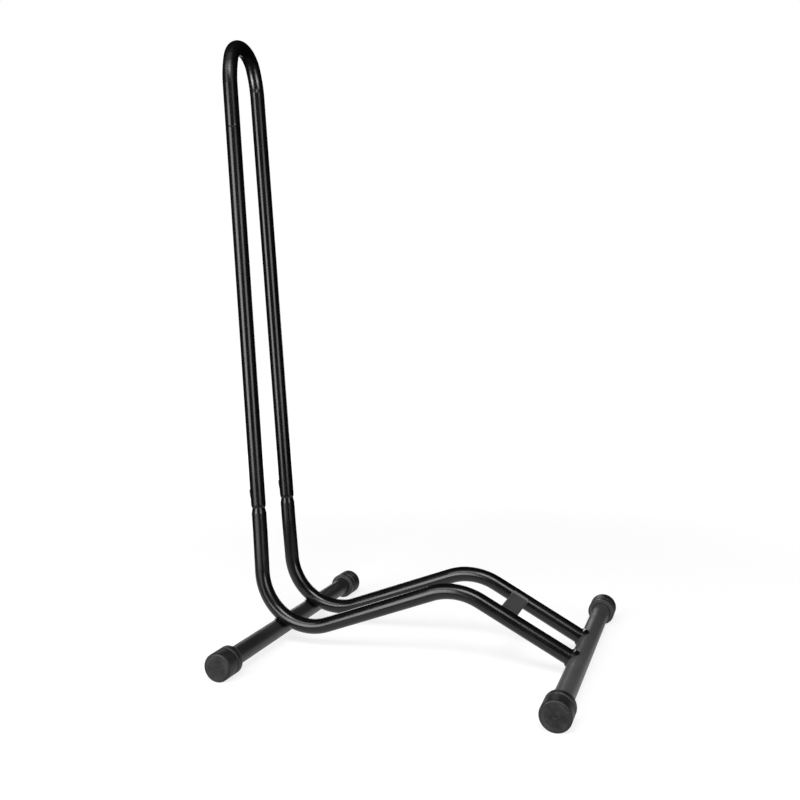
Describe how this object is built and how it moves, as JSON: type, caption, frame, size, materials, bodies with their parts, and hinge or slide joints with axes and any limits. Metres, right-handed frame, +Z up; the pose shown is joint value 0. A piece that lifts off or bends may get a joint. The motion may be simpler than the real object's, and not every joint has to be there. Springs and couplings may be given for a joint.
{
  "type": "bicycle floor stand",
  "caption": "Black tubular floor stand for a bicycle wheel: two bent rails on two capped cross tubes, with a tall lift-off hoop held by snap buttons.",
  "frame": {"origin": "centre of the stand's footprint, on the floor", "axes": "+X from the hoop towards the front cross tube, +Y to the left, across the rails, +Z up"},
  "size_m": [0.4034, 0.321, 0.663],
  "materials": {
    "gloss_black_frame": "gloss black powder coat on bent steel tube",
    "satin_black_frame": "satin black powder coat on steel, slightly greyer than the rails",
    "rubber_cap": "moulded matte black rubber",
    "spring_steel": "black-oiled spring steel strip"
  },
  "bodies": {
    "base": {"upper_hoop": "gloss_black_frame", "rear_cross_tube": "satin_black_frame", "front_cross_tube": "satin_black_frame", "bridge_plate": "satin_black_frame", "left_lower_tube": "gloss_black_frame", "right_lower_tube": "gloss_black_frame", "left_bridge_weld": "gloss_black_frame", "right_bridge_weld": "gloss_black_frame", "rear_left_weld": "gloss_black_frame", "rear_right_weld": "gloss_black_frame", "front_left_weld": "gloss_black_frame", "front_right_weld": "gloss_black_frame", "rear_left_cap": "rubber_cap", "rear_right_cap": "rubber_cap", "front_left_cap": "rubber_cap", "front_right_cap": "rubber_cap", "left_clip_leaf": "spring_steel", "right_clip_leaf": "spring_steel"},
    "left_button": {"left_snap_button": "spring_steel"},
    "right_button": {"right_snap_button": "spring_steel"}
  },
  "joints": [
    {"name": "left_button_press", "type": "hinge", "parent": "base", "child": "left_button", "pos_m": [-0.16141, 0.03347, 0.13314], "axis": [0, 1, 0.0086], "range_deg": [0, 5], "stiffness_Nm_per_rad": 1},
    {"name": "right_button_press", "type": "hinge", "parent": "base", "child": "right_button", "pos_m": [-0.16141, -0.03347, 0.13314], "axis": [0, 1, -0.0086], "range_deg": [0, 5], "stiffness_Nm_per_rad": 1}
  ]
}
